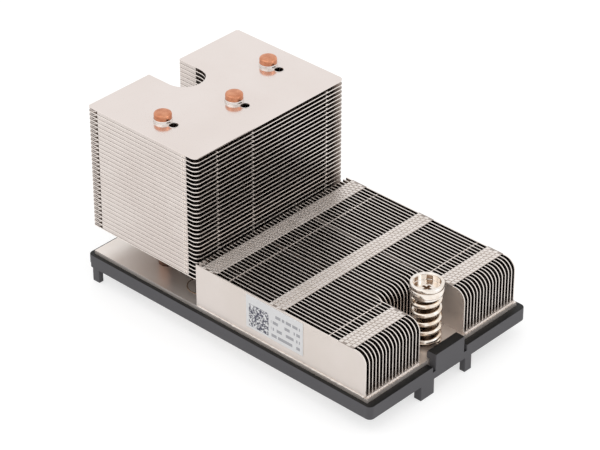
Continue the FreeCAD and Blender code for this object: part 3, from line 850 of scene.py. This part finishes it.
def addRims(pipes, settings):
    # A low burr round each solder hole: a small section carried along an arc that is open
    # towards the pipe.
    most = settings["burrTurn"]
    turn = np.radians(np.linspace(-most, most, settings["burrSteps"]))[:, None]
    out, up = settings["burr"] * np.array(settings["burrSection"]).T
    reach = settings["keyRadius"] + out
    height = np.broadcast_to(towerHigh[2] + hairline + up, (len(turn), len(up)))
    for number, (x, y) in enumerate(pipes, start=1):
        middle = x + settings["keyReach"]
        rim = np.stack([middle + reach * np.cos(turn), y + reach * np.sin(turn), height], -1)
        tubeObject("solderRim%d" % number, rim, False, finish["tinCollar"])


def addTower(settings):
    # One sheet at each fin's level, holed for the pipes; the top sheet has the solder holes too.
    outline = towerOutline(settings)
    pipes = [column("heat_pipe_%d" % number)[:3] for number in (1, 2, 3)]
    around, thick = settings["holeSteps"], settings["sheet"]
    holes = [arcPairs((x, y), r + hairline, 0, 360 - 360 / around, around) for x, y, r in pipes]
    keys = [keyLoop(x, y, r, settings) for x, y, r in pipes]
    level = lambda centre, normal: np.abs(normal[:, 2]) > squareOn
    sheets = sheetObject("towerSheets", [outline] + holes, sheetTops[:-1] - thick, thick,
                         finish["nickelEdge"], shaded=(finish["sheetShade"], level))
    top = sheetObject("towerTopSheet", [outline] + holes + keys, sheetTops[-1:] - thick, thick,
                      finish["nickelTop"])
    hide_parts(*finNames[:-1])
    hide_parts(finNames[-1])
    left, right = towerLow[0] + settings["foldLeft"], towerHigh[0] - settings["foldRight"]
    addFolds("foldsLeft", 1, towerLow[1], left, right, settings)
    addFolds("foldsRight", -1, towerHigh[1], left, right, settings)
    near, far = towerLow[0] + settings["notchInset"], settings["notchX"] - settings["notchEnd"]
    addFolds("notchFoldsLeft", -1, -settings["notch"], near, far, settings)
    addFolds("notchFoldsRight", 1, settings["notch"], near, far, settings)
    addRims([(x, y) for x, y, r in pipes], settings)


nibs = {
    "places": (-24.4 * mm, -8.5 * mm, 25.6 * mm), "wide": 0.55 * mm, "deep": 0.5 * mm, "tall": 0.30 * mm,
    "dimples": (5.9 * mm, 5.0 * mm), "dimpleWide": 0.5 * mm, "dimpleTall": 0.55 * mm,
    "dimpleProud": 0.10 * mm, "dimpleLift": 0.25 * mm, "dimpleStagger": 0.3,
}


def addNibs(settings):
    # Small pressed nibs on the sheets along the front edge.
    middle, low = np.meshgrid(np.array(settings["places"]), sheetTops[:-1], indexing="ij")
    middle, low, edge, half = middle.ravel(), low.ravel(), towerHigh[0], settings["wide"] / 2
    blocks = spanBlocks(edge - settings["deep"], edge, middle - half, middle + half,
                        low, low + settings["tall"])
    blockObject("spacerNibs", blocks, finish["nickelEdge"])


def addDimples(settings):
    # Two columns of low dimples near the front end of the left folded side, the second of them a
    # share of the sheets' pitch higher.
    pitch = sheetTops[1] - sheetTops[0]
    out, deep = towerLow[1] - settings["dimpleProud"], 2 * settings["dimpleProud"]
    blocks = []
    for order, inset in enumerate(settings["dimples"]):
        low = sheetTops[:-1] + settings["dimpleLift"] + settings["dimpleStagger"] * pitch * order
        x = towerHigh[0] - inset - settings["dimpleWide"] / 2
        blocks.append(spanBlocks(x, x + settings["dimpleWide"], out, out + deep,
                                 low, low + settings["dimpleTall"]))
    blockObject("foldDimples", np.concatenate(blocks), finish["nickelEdge"])


chevron = {
    "start": 0.75 * mm, "end": 0.35 * mm, "fall": 0.55, "thick": 0.26 * mm, "deep": 0.3 * mm, "sunk": 0.1,
}


def addChevrons(name, side, face, settings):
    # Bent tabs beside the folded side: from each sheet a thin strip falls to the middle of its
    # run and rises again, so height = sheet - fall * (1 - |2 * share - 1|).
    left, right = towerLow[0] + settings["start"], towerLow[0] + tower["foldLeft"] - settings["end"]
    gap = sheetTops[1] - sheetTops[0] - tower["sheet"]
    share = np.array([0.0, 0.5, 1.0])
    drop = gap * settings["fall"] * (1 - np.abs(2 * share - 1))
    upper = (sheetTops[1:] - tower["sheet"])[:, None] - drop
    lower = upper - settings["thick"]
    near = settings["sunk"]
    points = np.zeros((len(upper), 3, 4, 3))
    points[..., 0] = (left + (right - left) * share)[None, :, None]
    points[..., 1] = face + side * settings["deep"] * np.array([near, near, 1.0, 1.0])
    points[..., 2] = np.stack([lower, upper, upper, lower], -1)
    meshObject(name, points, stripFaces(points, [[3, 2, 1, 0]]), finish["nickelFold"])


addTower(tower)
addChevrons("bentTabsLeft", 1, towerLow[1], chevron)
addChevrons("bentTabsRight", -1, towerHigh[1], chevron)
addNibs(nibs)
addDimples(nibs)
print("stage: tower")


lowStack = {
    "fins": 47, "sheet": 0.36 * mm, "inset": 0.2 * mm, "foot": 0.4 * mm, "round": 4.0 * mm,
    "levelSteps": 3, "noseSteps": 16, "bayHalf": 10.45 * mm, "bayEnd": 43.0 * mm, "bandTall": 0.3 * mm,
    "lean": 0.05 * mm, "seed": 11, "sideDeep": 0.5 * mm, "bayShare": 0.6,
}
stackTop = stackHigh[2] - lowStack["bandTall"]
stackPitch = (stackHigh[1] - stackLow[1] - 2 * lowStack["inset"]) / (lowStack["fins"] - 1)
bayHalf, bayEnd = lowStack["bayHalf"], lowStack["bayEnd"]


def stackSide(centre, normal):
    # The stack's two outer faces and the bay's two walls, but not the faces between its sheets.
    away, turned = np.abs(centre[:, 1]), centre[:, 1] * normal[:, 1]
    outer = (away > stackHigh[1] - lowStack["sideDeep"]) & (turned > 0)
    return outer | ((np.abs(away - bayHalf) < stackPitch * lowStack["bayShare"]) & (turned < 0))


def addLowStack(settings):
    # Each sheet is a thin upright section carried along X. Its top is level, then follows a
    # quarter circle down to the nose: top = height - round + round * cos(turn).
    random = np.random.default_rng(settings["seed"])
    bend, level = settings["round"], settings["levelSteps"]
    turn = np.linspace(0, np.pi / 2, settings["noseSteps"])
    middle = stackLow[1] + settings["inset"] + stackPitch * np.arange(settings["fins"])
    ends = np.where(np.abs(middle) < bayHalf, bayEnd, stackHigh[0])[:, None]
    straight = np.linspace(0, 1, level, endpoint=False)
    along = np.concatenate([stackLow[0] + (ends - bend - stackLow[0]) * straight,
                            ends - bend + bend * np.sin(turn)], axis=1)
    tops = np.concatenate([np.full(level, stackTop), stackTop - bend + bend * np.cos(turn)])
    feet = np.full_like(tops, stackLow[2] + 0.5 * settings["foot"])
    lean = random.uniform(-1, 1, settings["fins"]) * settings["lean"]
    lean[[0, -1]] = 0.0
    half = settings["sheet"] / 2
    points = np.zeros((*along.shape, 4, 3))
    for corner, (side, height) in enumerate(((-half, feet), (-half, tops), (half, tops), (half, feet))):
        rise = (height - feet) / (stackTop - feet)
        points[:, :, corner, 0] = along
        points[:, :, corner, 1] = middle[:, None] + side + lean[:, None] * rise
        points[:, :, corner, 2] = height
    (left, near, low), (right, far), foot = stackLow, stackHigh[:2], stackLow[2] + settings["foot"]
    slabs = blockPoints([(left, near, low), (bayEnd, near, low), (bayEnd, bayHalf, low)],
                        [(bayEnd, far, foot), (right, -bayHalf, foot), (right, far, foot)])
    faces = [stripFaces(points, [[3, 2, 1, 0]]), repeatFaces(blockFaces, 8, 3) + points[..., 0].size]
    stack = meshObject("lowFinStack", np.concatenate([points.reshape(-1, 3), slabs.reshape(-1, 3)]),
                       np.concatenate(faces), finish["nickelEdge"])
    # faces between the sheets take sheetShade and the outer faces and bay walls take the darker nickel copy,
    # both painted shade
    for shade, sides in (("sheetShade", False), ("shadedNickel", True)):
        shadeFaces(stack.data, finish[shade], lambda centre, normal: (
            np.abs(normal[:, 1]) > squareOn) & (stackSide(centre, normal) == sides))
    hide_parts("low_fin_stack")


band = {
    "starts": (2.7 * mm, 31.6 * mm, 60.4 * mm), "wide": 6.1 * mm, "columns": 4, "strip": 0.12 * mm,
    "tabLong": 0.45, "tabShare": 0.80, "slant": 0.22, "inset": 0.10 * mm, "slack": 0.02 * mm,
    "tieStarts": (13.7 * mm, 55.9 * mm), "tieWide": 0.42 * mm, "tieDrop": 0.34 * mm, "tieTall": 0.16 * mm,
}


def addBand(number, start, settings):
    # A strip of locked tabs: slanted low blocks in brick order on a thin carrier.
    left = stackLow[0] + start
    right = left + settings["wide"]
    near, far, slack = stackLow[1], stackHigh[1], settings["slack"]
    spans = [(near, -bayHalf), (bayHalf, far)] if right > bayEnd + lowStack["round"] else [(near, far)]
    carrierTop = stackTop + settings["strip"]
    strip = blockPoints([(left, low, stackTop) for low, high in spans],
                        [(right, high, carrierTop) for low, high in spans])
    columns = settings["columns"]
    cellLong = settings["wide"] / columns
    order, row = np.meshgrid(np.arange(columns), np.arange(-1, lowStack["fins"]), indexing="ij")
    centreX = (left + cellLong * (order + 0.5)).ravel()
    centreY = (near + stackPitch * (row + 0.5 + 0.5 * (order % 2))).ravel()
    halfX, halfY = cellLong * settings["tabLong"], stackPitch * settings["tabShare"] / 2
    keep = np.zeros(len(centreY), bool)
    for low, high in spans:
        keep |= (centreY - halfY > low - slack) & (centreY + halfY < high + slack)
    centreX, centreY = centreX[keep], centreY[keep]
    tabs = spanBlocks(centreX - halfX, centreX + halfX, centreY - halfY, centreY + halfY,
                      stackTop + 0.5 * settings["strip"], stackHigh[2])
    middle = np.stack([centreX, centreY], -1)[:, None, :]
    shrink = 1 - settings["inset"] / np.array([halfX, halfY])
    tabs[:, 4:, :2] = middle + (tabs[:, 4:, :2] - middle) * shrink
    tabs[:, :, 1] += settings["slant"] * (tabs[:, :, 0] - middle[:, :, 0])
    tabs[:, :, 1] = np.clip(tabs[:, :, 1], near, far)
    carrier = lambda centre, normal: centre[:, 2] < carrierTop + hairline
    blockObject("lockedTabs%d" % number, np.concatenate([strip, tabs]), finish["nickelTabs"],
                shaded=(finish["tabShade"], carrier))


def addTie(number, start, settings):
    # A row of narrow bridges between neighbouring sheets, just under their top edges.
    left = stackLow[0] + start
    right = left + settings["tieWide"]
    row = np.arange(lowStack["fins"] - 1)
    low = stackLow[1] + lowStack["inset"] + stackPitch * row + lowStack["sheet"] / 2
    if right > bayEnd - lowStack["round"]:
        low = low[np.abs(low + stackPitch / 2) > bayHalf]
    top = stackTop - settings["tieDrop"]
    blocks = spanBlocks(left, right, low, low + stackPitch - lowStack["sheet"],
                        top - settings["tieTall"], top)
    blockObject("sheetTies%d" % number, blocks, finish["nickelTabs"])


addLowStack(lowStack)
for number, start in enumerate(band["starts"], start=1):
    addBand(number, start, band)
for number, start in enumerate(band["tieStarts"], start=1):
    addTie(number, start, band)
print("stage: low fin stack")


mark = {
    "place": (-19.5 * mm, -26.0 * mm), "radius": 5.2 * mm, "wide": 0.5 * mm, "tall": 0.14 * mm,
    "sunk": 0.05 * mm, "slope": 0.3, "around": 72,
}


def addRingMark(settings):
    # A raised ring that the press leaves on the plate beside the low stack.
    inner, outer = settings["radius"] - settings["wide"], settings["radius"]
    low, high = plateTop - settings["sunk"], plateTop + settings["tall"]
    slope = settings["slope"] * settings["wide"]
    ring = [(inner, low), (outer, low), (outer - slope, high), (inner + slope, high)]
    tubeObject("plateRing", turnedPoints(ring, settings["around"], (*settings["place"], 0.0)), True,
               finish["bronzeShade"], "heatsink", "plated_base")


bead = {
    "radius": 0.36 * mm, "wobble": 0.30, "least": 0.45, "most": 1.7, "steps": 260, "spare": 12,
    "smooth": 7, "smoothSum": 2.2, "around": 10, "out": 0.2 * mm, "rise": 0.05 * mm,
    "cornerGap": 0.3 * mm, "innerGap": 0.4 * mm,
}


def addBead(name, start, stop, settings, seed):
    # A wavering solder bead: circles of uneven size carried along a straight line.
    random = np.random.default_rng(seed)
    start, stop, steps = np.array(start), np.array(stop), settings["steps"]
    kernel = np.hanning(settings["smooth"]) / settings["smoothSum"]
    noise = np.convolve(random.normal(size=steps + settings["spare"]), kernel, "same")[:steps]
    size = settings["radius"] * np.clip(1 + settings["wobble"] * noise, settings["least"], settings["most"])
    size[[0, -1]] = 0.0
    centre = start + (stop - start) * np.linspace(0, 1, steps)[:, None]
    forward = (stop - start) / np.linalg.norm(stop - start)
    side = np.cross(forward, (0, 0, 1))
    spin = np.linspace(0, 2 * np.pi, settings["around"], endpoint=False)[:, None]
    ring = side * np.cos(spin) + np.array((0, 0, 1)) * np.sin(spin)
    # the bead takes the darker nickel copy: painted shade in the crease at the wall's foot
    tubeObject(name, centre[:, None, :] + size[:, None, None] * ring, False, finish["shadedNickel"],
               "heatsink", "plated_base")


def addBeads(settings):
    # Beads along the stack's visible side and along its two front feet.
    level, corner, inner = plateTop + settings["rise"], settings["cornerGap"], settings["innerGap"]
    near, far, front = stackLow[1], stackHigh[1], stackHigh[0] + settings["out"]
    runs = [("solderSide", 5, (stackLow[0] + inner, near), (stackHigh[0] - corner, near)),
            ("solderFrontLeft", 6, (front, near + corner), (front, -bayHalf - inner)),
            ("solderFrontRight", 7, (front, bayHalf + inner), (front, far - corner))]
    for name, seed, start, stop in runs:
        addBead(name, (*start, level), (*stop, level), settings, seed)


addRingMark(mark)
addBeads(bead)
print("stage: solder")

print("stage: done")
